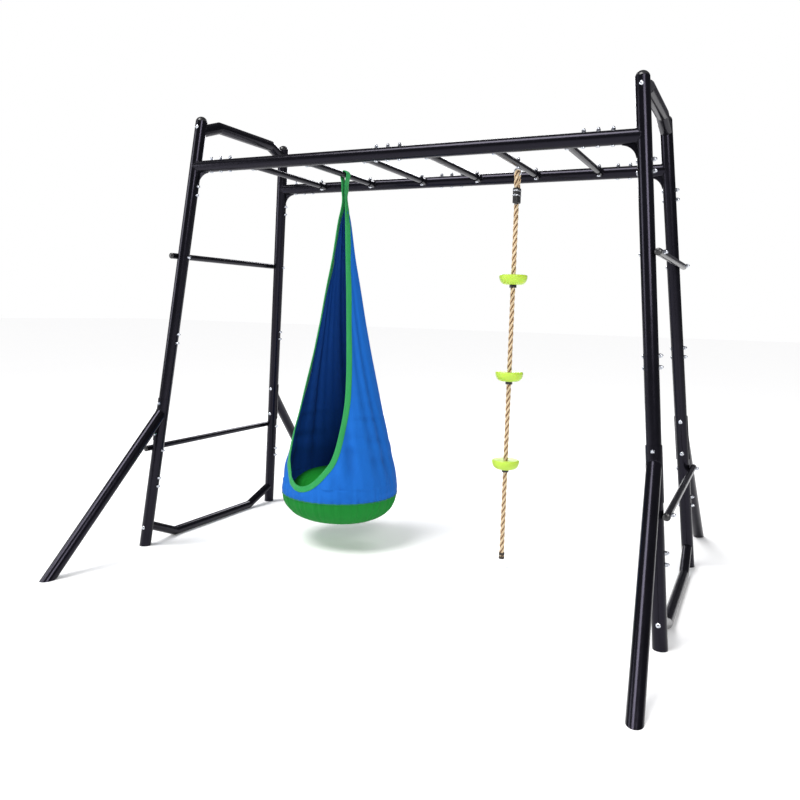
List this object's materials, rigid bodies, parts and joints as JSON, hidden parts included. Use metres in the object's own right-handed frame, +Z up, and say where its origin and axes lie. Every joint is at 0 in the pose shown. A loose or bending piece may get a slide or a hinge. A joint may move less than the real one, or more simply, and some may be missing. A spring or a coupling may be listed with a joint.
{
  "type": "monkey bars",
  "caption": "Garden monkey bars: black steel end frames with ladder rungs, overhead rungs, a hanging fabric pod with a cushion and a climbing rope with foot discs.",
  "frame": {"origin": "on the ground at the centre of the feet", "axes": "+X along the overhead beams to the rope side, +Y from front to back, +Z up"},
  "size_m": [2.2874, 2.0766, 1.902],
  "materials": {
    "black_enamel": "gloss black enamel",
    "zinc_plate": "bright zinc plate",
    "black_plastic": "moulded black plastic",
    "black_sleeve": "black sleeve with two silver bands",
    "rope_fibre": "braided tan fibre",
    "dark_whipping": "dark twine",
    "lime_plastic": "moulded lime plastic",
    "blue_fabric": "woven blue cotton, darker inside",
    "green_webbing": "green webbing and binding",
    "green_fabric": "gathered green cotton",
    "cushion_fabric": "smooth green cover"
  },
  "bodies": {
    "frame": {"bar_bolts": "zinc_plate", "beam_bolts": "zinc_plate", "beam_front_left": "black_enamel", "beam_front_right": "black_enamel", "beam_rear_left": "black_enamel", "beam_rear_right": "black_enamel", "bottom_bar_left": "black_enamel", "bottom_bar_right": "black_enamel", "brace_bolts": "zinc_plate", "cap_nuts": "zinc_plate", "corner_post_front_left": "black_enamel", "corner_post_front_right": "black_enamel", "corner_post_rear_left": "black_enamel", "corner_post_rear_right": "black_enamel", "eye_bolt": "zinc_plate", "foot_plugs": "black_plastic", "foot_post_front_left": "black_enamel", "foot_post_front_right": "black_enamel", "foot_post_rear_left": "black_enamel", "foot_post_rear_right": "black_enamel", "ground_brace_front_left": "black_enamel", "ground_brace_front_right": "black_enamel", "ground_brace_rear_left": "black_enamel", "ground_brace_rear_right": "black_enamel", "ladder_bolts": "zinc_plate", "ladder_rung_lower_left": "black_enamel", "ladder_rung_lower_right": "black_enamel", "ladder_rung_upper_left": "black_enamel", "ladder_rung_upper_right": "black_enamel", "lower_post_front_left": "black_enamel", "lower_post_front_right": "black_enamel", "lower_post_rear_left": "black_enamel", "lower_post_rear_right": "black_enamel", "monkey_rung_1": "black_enamel", "monkey_rung_2": "black_enamel", "monkey_rung_3": "black_enamel", "monkey_rung_4": "black_enamel", "monkey_rung_5": "black_enamel", "monkey_rung_6": "black_enamel", "post_bolts": "zinc_plate", "post_caps": "black_plastic", "rung_bolts": "zinc_plate", "rung_plugs": "black_plastic", "top_bar_left": "black_enamel", "top_bar_right": "black_enamel", "upper_post_front_left": "black_enamel", "upper_post_front_right": "black_enamel", "upper_post_rear_left": "black_enamel", "upper_post_rear_right": "black_enamel"},
    "pod_hanger": {"pod_loop": "green_webbing"},
    "pod": {"pod_shell": "blue_fabric", "pod_binding": "green_webbing", "pod_base": "green_fabric", "pod_cushion": "cushion_fabric"},
    "rope_head": {"rope_eye": "rope_fibre", "rope_sleeve": "black_sleeve"},
    "rope": {"climbing_rope": "rope_fibre", "rope_discs": "lime_plastic", "disc_clamps": "black_plastic", "rope_end": "dark_whipping"}
  },
  "joints": [
    {"name": "pod_swing", "type": "hinge", "parent": "frame", "child": "pod_hanger", "pos_m": [-0.405, 0.04, 1.685], "axis": [0, 1, 0], "range_deg": [-10, 15]},
    {"name": "pod_sway", "type": "hinge", "parent": "pod_hanger", "child": "pod", "pos_m": [-0.405, 0.04, 1.64], "axis": [1, 0, 0], "range_deg": [-18, 18]},
    {"name": "rope_swing", "type": "hinge", "parent": "frame", "child": "rope_head", "pos_m": [0.405, 0.02, 1.6403], "axis": [1, 0, 0], "range_deg": [-25, 25]},
    {"name": "rope_sway", "type": "hinge", "parent": "rope_head", "child": "rope", "pos_m": [0.405, 0.02, 1.526], "axis": [0, 1, 0], "range_deg": [-18, 10]}
  ]
}
